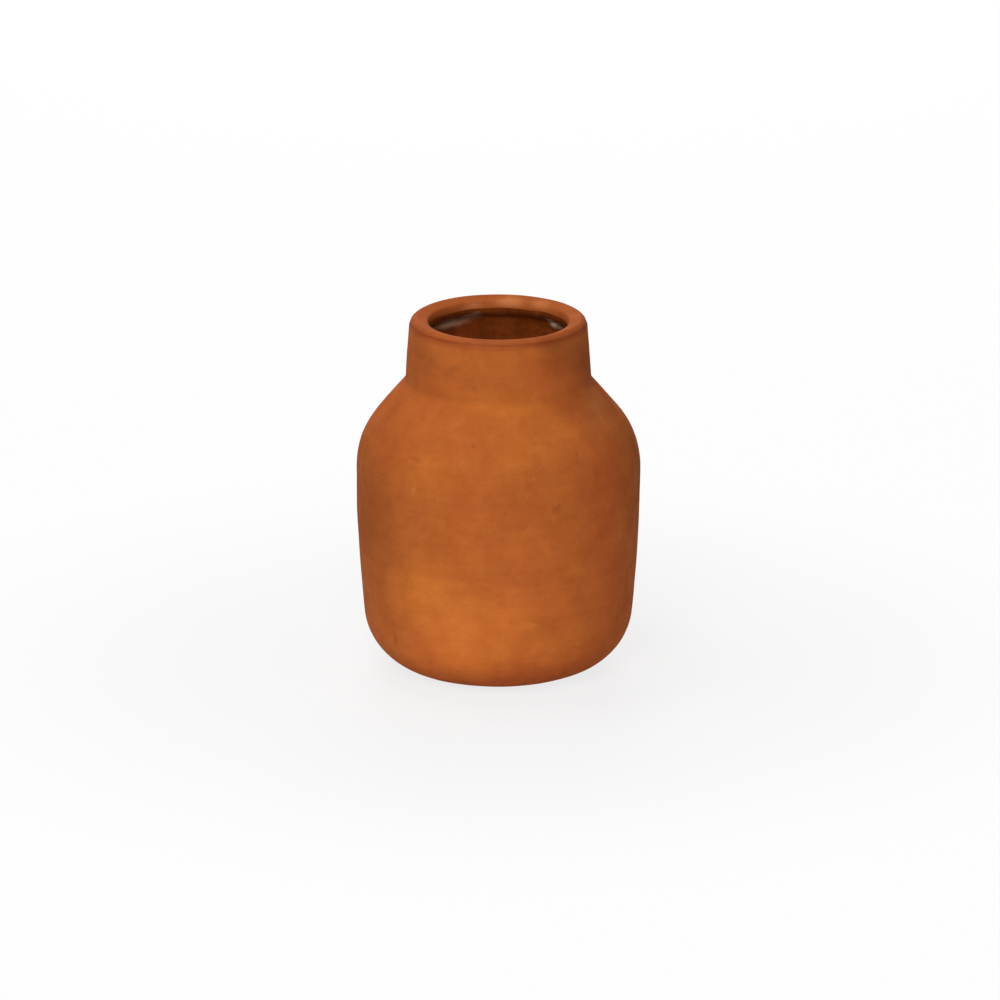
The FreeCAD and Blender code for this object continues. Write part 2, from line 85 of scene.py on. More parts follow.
# %% [markdown]
# ## The half section
# A thrown pot is one line turned round an axis. Blender's Screw modifier could turn a curve, but here the line is
# kept as arrays of (radius, height) points, made from arcs and straights that touch each other smoothly. Then
# every later step, such as the unevenness of the wall, can work on all points at once.

# %% Helpers for runs of points
SAME_POINT = 1e-7


def at(centre, radius, angle):
    """The point at that radius and angle from a centre of the half section."""
    return np.array([centre[0] + radius * math.cos(angle), centre[1] + radius * math.sin(angle)])


def bow(centre, radius, start, stop, step):
    """Points along an arc of the half section, about step apart."""
    count = max(3, math.ceil(radius * abs(stop - start) / step) + 1)
    angles = np.linspace(start, stop, count)
    return np.column_stack([centre[0] + radius * np.cos(angles), centre[1] + radius * np.sin(angles)])


def straight(start, end, step):
    """Points along a straight of the half section, about step apart."""
    count = max(2, math.ceil(math.dist(start, end) / step) + 1)
    return np.linspace(start, end, count)


def joined(*runs):
    """Runs end to end, with each shared point kept once."""
    kept = [runs[0]]
    for run in runs[1:]:
        shared = math.dist(kept[-1][-1], run[0]) < SAME_POINT
        kept.append(run[1:] if shared else run)
    return np.vstack(kept)


def softened(before, corner, after, radius, step):
    """Points round a corner that is rounded to that radius."""
    back = (before - corner) / np.linalg.norm(before - corner)
    on = (after - corner) / np.linalg.norm(after - corner)
    half = math.acos(float(np.clip(back @ on, -1, 1))) / 2
    middle = (back + on) / np.linalg.norm(back + on)
    centre = corner + middle * radius / math.sin(half)
    first, last = (corner + way * radius / math.tan(half) - centre for way in (back, on))
    start, stop = math.atan2(first[1], first[0]), math.atan2(last[1], last[0])
    turn = (stop - start + math.pi) % (2 * math.pi) - math.pi
    return bow(centre, radius, start, start + turn, step)


print("a quarter bow of 10 mm in steps of 1 mm has", len(bow((0, 0), 0.010, 0, math.pi / 2, 0.001)), "points")

# %% [markdown]
# The outline is four curves: the long bulge of the belly, the tight turn of the shoulder, the round lip
# and the rounded bottom edge. The neck's side and the shoulder's slope are straights that only touch
# them, so their angles follow from the curves.

# %% Centres and touching angles of the outline
BELLY_CENTRE = (BELLY_RADIUS - BELLY_CURVE, WIDEST)
SHOULDER_CENTRE = (BELLY_RADIUS - SHOULDER_CURVE, WIDEST)
ROLL_CENTRE = (NECK_RADIUS - NECK_TAPER - LIP_ROLL, TOP - LIP_ROLL)
NECK_ROOT = np.array([NECK_RADIUS, NECK_FOOT])


def touching_angle(centre, radius, point):
    """The angle at which the line from a point touches a circle on its outer side."""
    toward = math.atan2(point[1] - centre[1], point[0] - centre[0])
    lean = math.acos(radius / math.dist(centre, point))
    return toward - lean if point[1] > centre[1] else toward + lean


SLOPE_ANGLE = touching_angle(SHOULDER_CENTRE, SHOULDER_CURVE, NECK_ROOT)
NECK_ANGLE = touching_angle(ROLL_CENTRE, LIP_ROLL, NECK_ROOT)


def belly_angle(height, inset=0.0):
    """The angle of the belly's long curve at a height."""
    return math.asin((height - WIDEST) / (BELLY_CURVE - inset))


def corner_of(level, inset=0.0):
    """Centre of the rounded edge over a level floor, and the angle where the belly's curve takes over."""
    height = level + CORNER_CURVE - inset
    angle = math.asin((height - WIDEST) / (BELLY_CURVE - CORNER_CURVE))
    return at(BELLY_CENTRE, BELLY_CURVE - CORNER_CURVE, angle), angle


def neck_at(height, inset=0.0):
    """The point of the neck's straight side at a height."""
    return np.array([NECK_RADIUS - (height - NECK_FOOT) * math.tan(NECK_ANGLE) - inset, height])


def hollow_under_lip():
    """Centre of the hollow under the lip, and the angle from the lip's own centre to it."""
    outward = np.array([math.cos(NECK_ANGLE), math.sin(NECK_ANGLE)])
    past_bore = float((np.array(ROLL_CENTRE) - neck_at(NECK_FOOT, WALL)) @ outward)
    reach = LIP_ROLL + LIP_HOLLOW
    angle = NECK_ANGLE - math.acos(-(LIP_HOLLOW + past_bore) / reach)
    return at(ROLL_CENTRE, reach, angle), angle


HOLLOW_CENTRE, HOLLOW_ANGLE = hollow_under_lip()
print(f"the shoulder's slope leaves at {math.degrees(SLOPE_ANGLE):.1f} degrees,",
      f"the neck's side at {math.degrees(NECK_ANGLE):.1f}")

# %% [markdown]
# ## Outside runs
# Each section's outside is one run from seam to seam. The rows are closer where the form turns quickly: on the
# rolled lip, and in the corner under the neck, which a wet finger has softened into a small cove.

# %% Draw the outside of each section
WALL_STEP = 0.0022
FLOOR_STEP = 0.003
NECK_STEP = 0.0014
FINE_STEP = 0.0003
ROOT_SOFTNESS = 0.0095
RECESS_SOFTNESS = 0.0007

foot_corner, foot_leave = corner_of(FOOT)
recess_middle = np.array([0.0, FOOT + RECESS_DEPTH])
recess_top = np.array([RECESS_RADIUS - RECESS_SLOPE, FOOT + RECESS_DEPTH])
recess_rim = np.array([RECESS_RADIUS, FOOT])
foot_rim = np.array([foot_corner[0], FOOT])
slope_touch = at(SHOULDER_CENTRE, SHOULDER_CURVE, SLOPE_ANGLE)

recess_turn = softened(recess_middle, recess_top, recess_rim, RECESS_SOFTNESS, FINE_STEP)
foot_turn = softened(recess_top, recess_rim, foot_rim, RECESS_SOFTNESS, FINE_STEP)
root_turn = softened(slope_touch, NECK_ROOT, neck_at(TOP), ROOT_SOFTNESS, FINE_STEP)
root_split = len(root_turn) // 2

outside_runs = {
    "base": joined(
        straight(recess_middle, recess_turn[0], FLOOR_STEP / 2),
        recess_turn,
        foot_turn,
        straight(foot_turn[-1], foot_rim, FLOOR_STEP / 2),
        bow(foot_corner, CORNER_CURVE, -math.pi / 2, foot_leave, WALL_STEP),
        bow(BELLY_CENTRE, BELLY_CURVE, foot_leave, belly_angle(BASE_SEAM), WALL_STEP),
    ),
    "belly": bow(BELLY_CENTRE, BELLY_CURVE, belly_angle(BASE_SEAM), 0.0, WALL_STEP),
    "shoulder": joined(
        bow(SHOULDER_CENTRE, SHOULDER_CURVE, 0.0, SLOPE_ANGLE, WALL_STEP),
        straight(slope_touch, root_turn[0], WALL_STEP),
        root_turn[: root_split + 1],
    ),
    "neck": joined(root_turn[root_split:], straight(root_turn[-1], neck_at(LIP_SEAM), NECK_STEP)),
    "lip": joined(
        straight(neck_at(LIP_SEAM), at(ROLL_CENTRE, LIP_ROLL, NECK_ANGLE), NECK_STEP),
        bow(ROLL_CENTRE, LIP_ROLL, NECK_ANGLE, math.pi, FINE_STEP),
    ),
}
print("outside rows:", {name: len(run) for name, run in outside_runs.items()})

# %% [markdown]
# ## Inside runs
# The inside of the clay follows the outside one wall thickness away, and the glaze lies on it. So one function
# draws both: with no coat for the clay, and with the glaze's thickness for the surface that shows.

# %% Draw the cavity
INSIDE_STEP = 0.0025
STEM_STEP = 0.0007
HOLLOW_STEP = 0.0005


def cavity(coat):
    """The inside from the middle of the floor up to the lip's innermost line, coat above the clay."""
    inset = WALL + coat
    level = FOOT + FLOOR_THICKNESS + coat
    corner, leave = corner_of(level, inset)
    bore = NECK_RADIUS - WALL - coat
    touch = at(SHOULDER_CENTRE, SHOULDER_CURVE - inset, SLOPE_ANGLE)
    bore_foot = np.array([bore, touch[1] + (touch[0] - bore) / math.tan(SLOPE_ANGLE)])
    bore_top = np.array([bore, NECK_FOOT])
    hollow = LIP_HOLLOW - coat
    return {
        "base": joined(
            straight((0.0, level), (corner[0], level), FLOOR_STEP),
            bow(corner, CORNER_CURVE - inset, -math.pi / 2, leave, INSIDE_STEP),
            bow(BELLY_CENTRE, BELLY_CURVE - inset, leave, belly_angle(BASE_SEAM, inset), INSIDE_STEP),
        ),
        "belly": bow(BELLY_CENTRE, BELLY_CURVE - inset, belly_angle(BASE_SEAM, inset), 0.0, INSIDE_STEP),
        "shoulder": joined(
            bow(SHOULDER_CENTRE, SHOULDER_CURVE - inset, 0.0, SLOPE_ANGLE, INSIDE_STEP),
            straight(touch, bore_foot, INSIDE_STEP),
            straight(bore_foot, bore_top, NECK_STEP),
        ),
        "neck": straight(bore_top, neck_at(LIP_SEAM, inset), NECK_STEP),
        "lip": joined(
            straight(neck_at(LIP_SEAM, inset), at(HOLLOW_CENTRE, hollow, NECK_ANGLE), STEM_STEP),
            bow(HOLLOW_CENTRE, hollow, NECK_ANGLE, HOLLOW_ANGLE + math.pi, HOLLOW_STEP),
            bow(ROLL_CENTRE, LIP_ROLL + coat, HOLLOW_ANGLE + 2 * math.pi, math.pi, HOLLOW_STEP),
        ),
    }


clay_inside, glaze_inside = cavity(0.0), cavity(GLAZE)
print("inside rows:", {name: len(run) for name, run in glaze_inside.items()})

# %% [markdown]
# ## The hand of the potter
# A thrown wall is never a perfect surface. It is a little out of round, it keeps soft hollows from the fingers,
# and the rib that smooths it leaves faint level bands. Blender's Displace modifier could push points about by a
# texture. Here a sum of sine waves with seeded directions does it, because its size is known in millimetres and
# it is the same on every run.

# %% A smooth random field
AROUND = 360
WAVE_SPREAD = (0.6, 1.4)
turns = np.arange(AROUND) * 2 * math.pi / AROUND


def ring_points(run):
    """The run turned round the axis: an array of rows by turns by xyz."""
    radius = run[:, 0, None]
    level = np.broadcast_to(run[:, 1, None], (len(run), AROUND))
    return np.stack([radius * np.cos(turns), radius * np.sin(turns), level], axis=-1)


def swell(seed, reach, count=24):
    """A smooth random field over space, with features about reach across and values of about -1 to 1."""
    random = np.random.default_rng(seed)
    ways = random.normal(size=(count, 3))
    ways /= np.linalg.norm(ways, axis=1, keepdims=True)
    waves = ways * (2 * math.pi / reach) * random.uniform(*WAVE_SPREAD, size=(count, 1))
    phases = random.uniform(0, 2 * math.pi, count)

    def field(points):
        return np.sin(points @ waves.T + phases).sum(axis=-1) / math.sqrt(2 * count)

    return field


def eased(value, start, stop):
    """0 before start, 1 after stop and a smooth rise between."""
    part = np.clip((value - start) / (stop - start), 0, 1)
    return part * part * (3 - 2 * part)


print(AROUND, "points in each ring")

# %% [markdown]
# Four such fields, with features from a hand's length down to a centimetre, make the outside's unevenness. They
# depend only on where a point is, so they cross the seams without a step, as on a pot that was wiped down after
# it was joined.

# %% Unevenness of the outside
OUT_OF_ROUND_DEPTH = 0.00035
FINGER_DEPTH = 0.00018
RIB_DEPTH = 0.00003
BUMP_DEPTH = 0.000025
LEVEL_ONLY = np.array([0.04, 0.04, 1.0])
TRIMMED_AT_LIP = 0.6
out_of_round = swell(11, 0.16)
finger_hollows = swell(12, 0.045)
rib_bands = swell(13, 0.011)
small_bumps = swell(14, 0.014)


def outside_relief(points):
    """How far the outside stands off its smooth form, in metres; the lip was trimmed last and is truest."""
    trueness = 1 - TRIMMED_AT_LIP * eased(points[..., 2], NECK_FOOT, TOP)
    return trueness * (
        OUT_OF_ROUND_DEPTH * out_of_round(points)
        + FINGER_DEPTH * finger_hollows(points)
        + RIB_DEPTH * rib_bands(points * LEVEL_ONLY)
        + BUMP_DEPTH * small_bumps(points)
    )


belly_lift = outside_relief(ring_points(outside_runs["belly"])) * 1000
print(f"the belly's unevenness runs from {belly_lift.min():.2f} to {belly_lift.max():.2f} mm")

# %% [markdown]
# The underside was cut from the wheel and turned with a loop tool, which leaves close rings. The inside keeps the
# spiral ridge of the fingers that drew the wall up. Near the lip the inside's relief passes over into the
# outside's, so the two meet without a step on the lip's innermost line.

# %% Unevenness of the underside and the inside
TURNED_SPACING = 0.0032
TURNED_DEPTH = 0.00007
TURNED_WOBBLE = 1.5
TURNED_SHARE = 0.8
RING_SPACING = 0.0085
RING_DEPTH = 0.00018
RING_WOBBLE = 0.3
INSIDE_FINGER_DEPTH = 0.0001
RINGS_BEGIN = (0.03, 0.06)
turned_wobble = swell(15, 0.02)
ring_wobble = swell(16, 0.05)


def foot_relief(points):
    """The outside's unevenness, with the rings of the loop tool on the level underside."""
    radius = np.hypot(points[..., 0], points[..., 1])
    under = 1 - eased(radius, foot_rim[0] * TURNED_SHARE, foot_rim[0])
    rings = np.sin(2 * math.pi * radius / TURNED_SPACING + TURNED_WOBBLE * turned_wobble(points))
    return outside_relief(points) * (1 - under) + TURNED_DEPTH * under * rings


def inside_relief(points):
    """Throwing rings: one soft spiral ridge that climbs by a ring spacing each turn."""
    radius = np.hypot(points[..., 0], points[..., 1])
    turn = np.arctan2(points[..., 1], points[..., 0]) / (2 * math.pi)
    climb = points[..., 2] / RING_SPACING - turn + RING_WOBBLE * ring_wobble(points)
    ridge = RING_DEPTH * np.sin(2 * math.pi * climb) + INSIDE_FINGER_DEPTH * finger_hollows(points)
    rings = eased(radius, *RINGS_BEGIN) * ridge
    near_lip = eased(points[..., 2], ROLL_CENTRE[1] - LIP_ROLL, ROLL_CENTRE[1])
    return rings * (1 - near_lip) + outside_relief(points) * near_lip


neck_lift = inside_relief(ring_points(clay_inside["neck"])) * 1000
print(f"the rings inside the neck run from {neck_lift.min():.2f} to {neck_lift.max():.2f} mm")

# %% [markdown]
# A relief is a height over the smooth form, so each point moves by it along the form's own normal. On a turned
# form the normal lies in the half section. It is found once for each row of the run, and goes round with the row.

# %% Raise runs by a relief
def facing(run):
    """Unit normals of a run, to the right of its travel, which is out of the clay."""
    along = np.gradient(run, axis=0)
    along /= np.linalg.norm(along, axis=1, keepdims=True)
    return np.column_stack([along[:, 1], -along[:, 0]])


def raised(run, relief):
    """Ring points of a run, moved out of the clay by a relief."""
    points = ring_points(run)
    normal = facing(run)
    lift = relief(points)
    spread = lift * normal[:, 0, None]
    moves = [spread * np.cos(turns), spread * np.sin(turns), lift * normal[:, 1, None]]
    return points + np.stack(moves, axis=-1)


belly_rings = raised(outside_runs["belly"], outside_relief)
print("the belly's outside:", belly_rings.shape[0], "rings of", belly_rings.shape[1], "points")

# %% [markdown]
# ## Turning a skin
# The rings become a mesh of quads. A section closes on itself: up the outside, over the V of its upper seam, down
# the inside and back over the V of its lower seam. A skin that reaches the axis ends there in one middle point.

# %% Turn rings into a mesh
SHARP = math.radians(40)


def skin(name, rings, closed):
    """A mesh object from rings of points; unless it is closed, both ends come together on the axis."""
    around = rings.shape[1]
    tips = [] if closed else [rings[0].mean(axis=0), rings[-1].mean(axis=0)]
    rings = rings if closed else rings[1:-1]
    ids = np.arange(len(rings) * around).reshape(-1, around)
    above = np.roll(ids, -1, axis=0)
    here = ids if closed else ids[:-1]
    above = above if closed else above[:-1]
    quads = np.stack([here, np.roll(here, -1, axis=1), np.roll(above, -1, axis=1), above], axis=-1)
    faces = quads.reshape(-1, 4).tolist()
    if not closed:
        start, end = ids.size, ids.size + 1
        first, last = ids[0].tolist(), ids[-1].tolist()
        faces += [[start, b, a] for a, b in zip(first, first[1:] + first[:1])]
        faces += [[end, a, b] for a, b in zip(last, last[1:] + last[:1])]
    mesh = bpy.data.meshes.new(name)
    mesh.from_pydata(rings.reshape(-1, 3).tolist() + [tip.tolist() for tip in tips], [], faces)
    mesh.polygons.foreach_set("use_smooth", [True] * len(mesh.polygons))
    mesh.set_sharp_from_angle(angle=SHARP)
    mesh.update()
    piece = bpy.data.objects.new(name, mesh)
    bpy.context.scene.collection.objects.link(piece)
    return piece


def place(piece, node):
    """Puts a skin in the frame: it rides on the vase's one body and stands for a CAD piece."""
    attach(piece, "root")
    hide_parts(node)
    print(f"{piece.name}: {len(piece.data.vertices)} points, stands for {node}")


print(f"edges sharper than {math.degrees(SHARP):.0f} degrees stay crisp")

# %% [markdown]
# ## The lip
# While the wheel turned, a blunt tool pressed a line into the lip's outer side, and a finger pressed its top a
# little flat towards the inside. A bevel or a boolean could cut them. Here they are part of the lip's relief, so
# the line can be deeper in one place than in another, as a hand leaves it.

# %% The tooled line and the pressed top of the lip
LINE_DROP = 0.0046
LINE_TOOL = 0.002
LINE_DEPTH = 0.0007
LINE_HALF_WIDTH = 0.0021
LINE_DRIFT = 0.00035
LINE_PRESSURE = 0.85
LINE_UNEVENNESS = 0.3
LINE_ANGLE = math.asin((LIP_ROLL - LINE_DROP) / (LIP_ROLL + LINE_TOOL - LINE_DEPTH))
PRESS_ANGLE = math.radians(108)
PRESS_REACH = 0.0068
PRESS_SOFTNESS = 0.00025
PRESS_EDGE = 0.3
line_pressure = swell(21, 0.05)
line_drift = swell(22, 0.07)


def lip_relief(points):
    """The outside's unevenness with the pressed top and the tooled line, now deeper and now shallower."""
    radius = np.hypot(points[..., 0], points[..., 1])
    angle = np.arctan2(points[..., 2] - ROLL_CENTRE[1], radius - ROLL_CENTRE[0])
    flat = PRESS_REACH / np.clip(np.cos(angle - PRESS_ANGLE), PRESS_EDGE, 1)
    pressed = -PRESS_SOFTNESS * np.logaddexp(0, (LIP_ROLL - flat) / PRESS_SOFTNESS)
    off_line = (angle - LINE_ANGLE) * LIP_ROLL + LINE_DRIFT * line_drift(points)
    pressure = LINE_PRESSURE + LINE_UNEVENNESS * line_pressure(points)
    tooled = pressure * (1 - eased(np.abs(off_line), 0.0, LINE_HALF_WIDTH))
    return outside_relief(points) + pressed - LINE_DEPTH * tooled


print(f"the tooled line lies {math.degrees(LINE_ANGLE):.0f} degrees up on the lip's round")

# %% [markdown]
# ## The five clay sections
# Base, belly, shoulder, neck and lip are separate skins, as they were separate pots on the bench. Outside
# they meet point to point, so the wiped surface looks whole. Inside the wall the V seams of the CAD are kept.

# %% Build the sections
NODES = {
    "base": "base_dish",
    "belly": "belly_wall",
    "shoulder": "shoulder_dome",
    "neck": "neck_collar",
    "lip": "lip_ring",
}
SEAMS = {"base": BASE_SEAM, "belly": WIDEST, "shoulder": NECK_FOOT, "neck": LIP_SEAM}
reliefs = {name: outside_relief for name in NODES} | {"base": foot_relief, "lip": lip_relief}


def seam_ring(outer, inner, seam):
    """The ring at the bottom of a seam's V, halfway through the wall."""
    middle = (outer + inner) / 2
    middle[:, 2] = seam - SEAM_DEPTH
    return middle[None]


clay_pieces = {}
seam_below = None
for name, node in NODES.items():
    outside = raised(outside_runs[name], reliefs[name])
    inside = raised(clay_inside[name][::-1], inside_relief)
    if name in SEAMS:
        seam_above = seam_ring(outside[-1], inside[0], SEAMS[name])
        rings = [outside, seam_above, inside]
    else:
        rings = [outside, inside[1:]]
    closed = seam_below is not None
    if closed:
        rings.append(seam_below)
    clay_pieces[name] = skin(f"{node}_clay", np.vstack(rings), closed)
    place(clay_pieces[name], node)
    seam_below = seam_above

# %% [markdown]
# ## The glaze
# The inside was filled with glaze and poured out again. The coat fills the throwing rings a little. It has run
# together in the hollow under the lip, a little all round and more in two soft ledges at the back. Its upper edge
# was wiped off with a sponge just below the lip's innermost line. A Solidify modifier could give a coat too, but
# only of one thickness.

# %% How the glaze ran and where it was wiped off
# degrees from the back, half width in degrees, height
LEDGES = [(-41, 21, 0.2842), (47, 7, 0.2864)]
LEDGE_HALF = 0.0030
LEDGE_THICKNESS = 0.0017
LEDGE_WANDER = 0.0006
POOL_HEIGHT = 0.2894
POOL_HALF = 0.0022
POOL_THICKNESS = 0.0013
EDGE_HEIGHT = ROLL_CENTRE[1] - 0.0004
WIPE_BELOW = 0.006
WIPE_ABOVE = 0.001
WIPE_WANDER = 0.0005
poured_waves = swell(31, 0.03)
sponge_edge = swell(32, 0.025)
ledge_edge = swell(33, 0.02)


def ledge_relief(points):
    """Where the glaze has run together: a little in the hollow all round, and in two ledges under the lip."""
    turn = np.degrees(np.arctan2(points[..., 0], points[..., 1]))
    relief = POOL_THICKNESS * np.exp(-(((points[..., 2] - POOL_HEIGHT) / POOL_HALF) ** 2))
    for middle, half, height in LEDGES:
        up = (points[..., 2] - height + LEDGE_WANDER * ledge_edge(points)) / LEDGE_HALF
        relief += LEDGE_THICKNESS * np.exp(-(((turn - middle) / half) ** 2) - up**2)
    return relief


def wiped_off(points):
    """How far the sponge has taken the glaze off, from 0 on the neck to 1 on the lip."""
    height = points[..., 2] + WIPE_WANDER * sponge_edge(points)
    return eased(height, EDGE_HEIGHT - WIPE_BELOW, EDGE_HEIGHT + WIPE_ABOVE)


print(f"the glaze ends about {EDGE_HEIGHT * 1000:.1f} mm up, in the lip")

# %% [markdown]
# The coat is a skin of its own with a back and a front, because it is a layer of glass. Where it is wiped off, its
# front dips into the clay, so its edge is where the two surfaces cross. The back is never seen and has fewer rows.

# %% Build the glaze lining
GLAZE_FOLLOWS = 0.85
WAVE_DEPTH = 0.00012
FRONT_DIP = 0.00015
BACK_GAP = 0.00002
BACK_DIP = 0.0003
BACK_THINNING = 4


def glaze_relief(points):
    """The front of the glaze: rings filled a little, soft waves, the ledges and the wiped edge."""
    wiped = wiped_off(points)
    poured = GLAZE_FOLLOWS * inside_relief(points) + WAVE_DEPTH * poured_waves(points) + ledge_relief(points)
    return (1 - wiped) * poured + wiped * (inside_relief(points) - GLAZE - FRONT_DIP)


def glaze_back_relief(points):
    """The back of the glaze follows the clay, and stays behind the front where that is wiped off."""
    return -inside_relief(points) - BACK_GAP + BACK_DIP * wiped_off(points)


def thinned(run):
    """About every fourth row of a run, with both its ends, for a side that is never seen."""
    return run[np.linspace(0, len(run) - 1, len(run) // BACK_THINNING).round().astype(int)]


glaze_back = raised(thinned(joined(*clay_inside.values())), glaze_back_relief)
glaze_front = raised(joined(*glaze_inside.values())[::-1], glaze_relief)
glaze_piece = skin("glaze_lining_coat", np.vstack([glaze_back, glaze_front]), closed=False)
place(glaze_piece, "glaze_lining")

# %% [markdown]
# ## Felt pads
# Small felt discs keep the fired clay off the floor. Felt has no crisp edge: fibres stand out all round
# and its underside is a little lumpy. Each pad is a turned disc whose rim and underside are roughened by two
# scales of unevenness. Hair particles would be finer, but at two millimetres' thickness they'd not be seen.

# %% Build the felt pads
PAD_RADIUS = 0.009
PAD_EDGE = 0.0006
PAD_STEP = 0.0006
PAD_FINE_STEP = 0.0002
PAD_AROUND = 96
LUMP_REACH = 0.004
FUZZ_REACH = 0.0012
PAD_FUZZ = 0.016
FUZZ_AT_RIM = 8
PAD_LIFT = 0.00009
PAD_LUMPS = 0.00006
PAD_SEED = 40
pad_turns = np.arange(PAD_AROUND) * 2 * math.pi / PAD_AROUND


def felt_rings(node, seed):
    """Rings of a felt disc where the CAD has its pad."""
    low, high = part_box(node)
    thickness = high.z - low.z
    lumps, fuzz = swell(seed, LUMP_REACH), swell(seed + 1, FUZZ_REACH)
    run = joined(
        straight((0.0, 0.0), (PAD_RADIUS - PAD_EDGE, 0.0), PAD_STEP),
        bow((PAD_RADIUS - PAD_EDGE, PAD_EDGE), PAD_EDGE, -math.pi / 2, 0.0, PAD_FINE_STEP),
        straight((PAD_RADIUS, PAD_EDGE), (PAD_RADIUS, thickness), PAD_FINE_STEP),
        straight((PAD_RADIUS, thickness), (0.0, thickness), FLOOR_STEP),
    )
    radius, height = run[:, 0, None], np.broadcast_to(run[:, 1, None], (len(run), PAD_AROUND))
    points = np.stack([radius * np.cos(pad_turns), radius * np.sin(pad_turns), height], axis=-1)
    rough = lumps(points) + fuzz(points)
    at_rim = (radius / PAD_RADIUS) ** FUZZ_AT_RIM
    points[..., :2] *= (1 + PAD_FUZZ * at_rim * rough)[..., None]
    points[..., 2] += (1 - height / thickness) * np.clip(PAD_LIFT + PAD_LUMPS * rough, 0, None)
    return points + np.array([(low.x + high.x) / 2, (low.y + high.y) / 2, low.z])


felt_pieces = []
for number in range(1, 5):
    node = f"felt_pad_{number}"
    pad = skin(f"{node}_felt", felt_rings(node, PAD_SEED + 2 * number), closed=False)
    place(pad, node)
    felt_pieces.append(pad)

# %% [markdown]
# ## Helpers for materials
# A procedural material is a chain of nodes. These helpers make one node each and return the socket that goes on,
# so a finish reads from top to bottom in the order in which it is built up.

# %% Node helpers
def new_material(name):
    """A new node material, with its node tree and its shader."""
    material = bpy.data.materials.new(name)
    material.use_nodes = True
    return material, material.node_tree, material.node_tree.nodes["Principled BSDF"]


def add(tree, kind, inputs=(), **settings):
    """A node with its settings; inputs gives a socket's name or number a value or another socket."""
    made = tree.nodes.new(kind)
    for key, value in settings.items():
        setattr(made, key, value)
    for key, value in dict(inputs).items():
        if isinstance(value, bpy.types.NodeSocket):
            tree.links.new(value, made.inputs[key])
        else:
            made.inputs[key].default_value = value
    return made


def calc(tree, how, *values):
    """The result of a Math node."""
    return add(tree, "ShaderNodeMath", enumerate(values), operation=how).outputs[0]


def vector(tree, how, *values):
    """The vector result of a Vector Math node."""
    return add(tree, "ShaderNodeVectorMath", enumerate(values), operation=how).outputs["Vector"]


def length(tree, value):
    """The length of a vector."""
    return add(tree, "ShaderNodeVectorMath", {0: value}, operation="LENGTH").outputs["Value"]


def srgb(red, green, blue):
    """A colour written as screen values from 0 to 255, as the shader's linear colour."""
    linear = [((c / 255 + 0.055) / 1.055) ** 2.4 for c in (red, green, blue)]
    return (*linear, 1.0)


print("a screen value of 128 is", round(srgb(128, 128, 128)[0], 3), "in linear light")

# %% [markdown]
# Three kinds of node do most of the work. Mix puts one colour over another, Map Range turns a value into an
# amount, and Noise gives a value that changes smoothly over space. An image could hold the same, but noise has
# no seams.

# %% Helpers for colour, noise and bumps
NOISE_RANGE = (0.3, 0.7)


def mixed(tree, factor, one, other, how="MIX"):
    """The result of a Mix node for colours."""
    sockets = {0: factor, 6: one, 7: other}
    return add(tree, "ShaderNodeMix", sockets, data_type="RGBA", blend_type=how).outputs[2]


def ranged(tree, value, low, high, to_low=0.0, to_high=1.0):
    """A value taken smoothly from one range to another, and held at the ends."""
    sockets = {"Value": value, "From Min": low, "From Max": high, "To Min": to_low, "To Max": to_high}
    return add(tree, "ShaderNodeMapRange", sockets, interpolation_type="SMOOTHSTEP").outputs["Result"]


def noise(tree, spot, scale, detail=2.0, roughness=0.5, distortion=0.0, part="Fac"):
    """The value of a Noise node, about 0.5 on average; features are about one over scale across."""
    sockets = {"Vector": spot, "Scale": scale, "Detail": detail, "Roughness": roughness,
               "Distortion": distortion}
    return add(tree, "ShaderNodeTexNoise", sockets).outputs[part]


def strayed(tree, spot, scale, reach):
    """The spot moved about by a noise, so that what is drawn there gets an uneven edge."""
    colour = noise(tree, spot, scale, part="Color")
    return vector(tree, "MULTIPLY_ADD", vector(tree, "SUBTRACT", colour, (0.5,) * 3), (reach,) * 3, spot)


def bumped(tree, shader, height, strength, distance):
    """Gives a shader small bumps from a height."""
    made = add(tree, "ShaderNodeBump", {"Height": height, "Strength": strength, "Distance": distance})
    tree.links.new(made.outputs["Normal"], shader.inputs["Normal"])


print("most values of a noise lie between", *NOISE_RANGE)

# %% [markdown]
# ## Terracotta
# Fired earthenware is matte and never one colour. The kiln leaves clouds of redder and paler orange, the wet
# sponge leaves level streaks, fine sand shows as grain, and handling leaves smudges and pale scuffs. All of it is
# worked out from the place of a point on the vase, so the colour runs over the seams as the clay does.
# The clouds and marks that the photograph shows are placed one by one, by the angle round the vase, from its
# front, and the height. The rest comes from noise, so the back is as lively as the front.
# Some clouds and marks are painted light and shade: a glow low on the front, a lift in the cove under the neck,
# shade on the neck's sides and highlights on the lip and the right shoulder.

# %% Clouds of the kiln, with painted glow and shade
# besides the clay's own tones, the amber also paints a glow and a lift of light, the pale also paints highlights
# and the darkest brown also paints shade
CLAY = srgb(197, 105, 45)
CLAY_RED = srgb(190, 88, 42)
CLAY_AMBER_AND_GLOW = srgb(222, 127, 50)
CLAY_PALE_AND_HIGHLIGHT = srgb(214, 130, 76)
CLAY_GRIME_AND_SHADE = srgb(112, 54, 20)

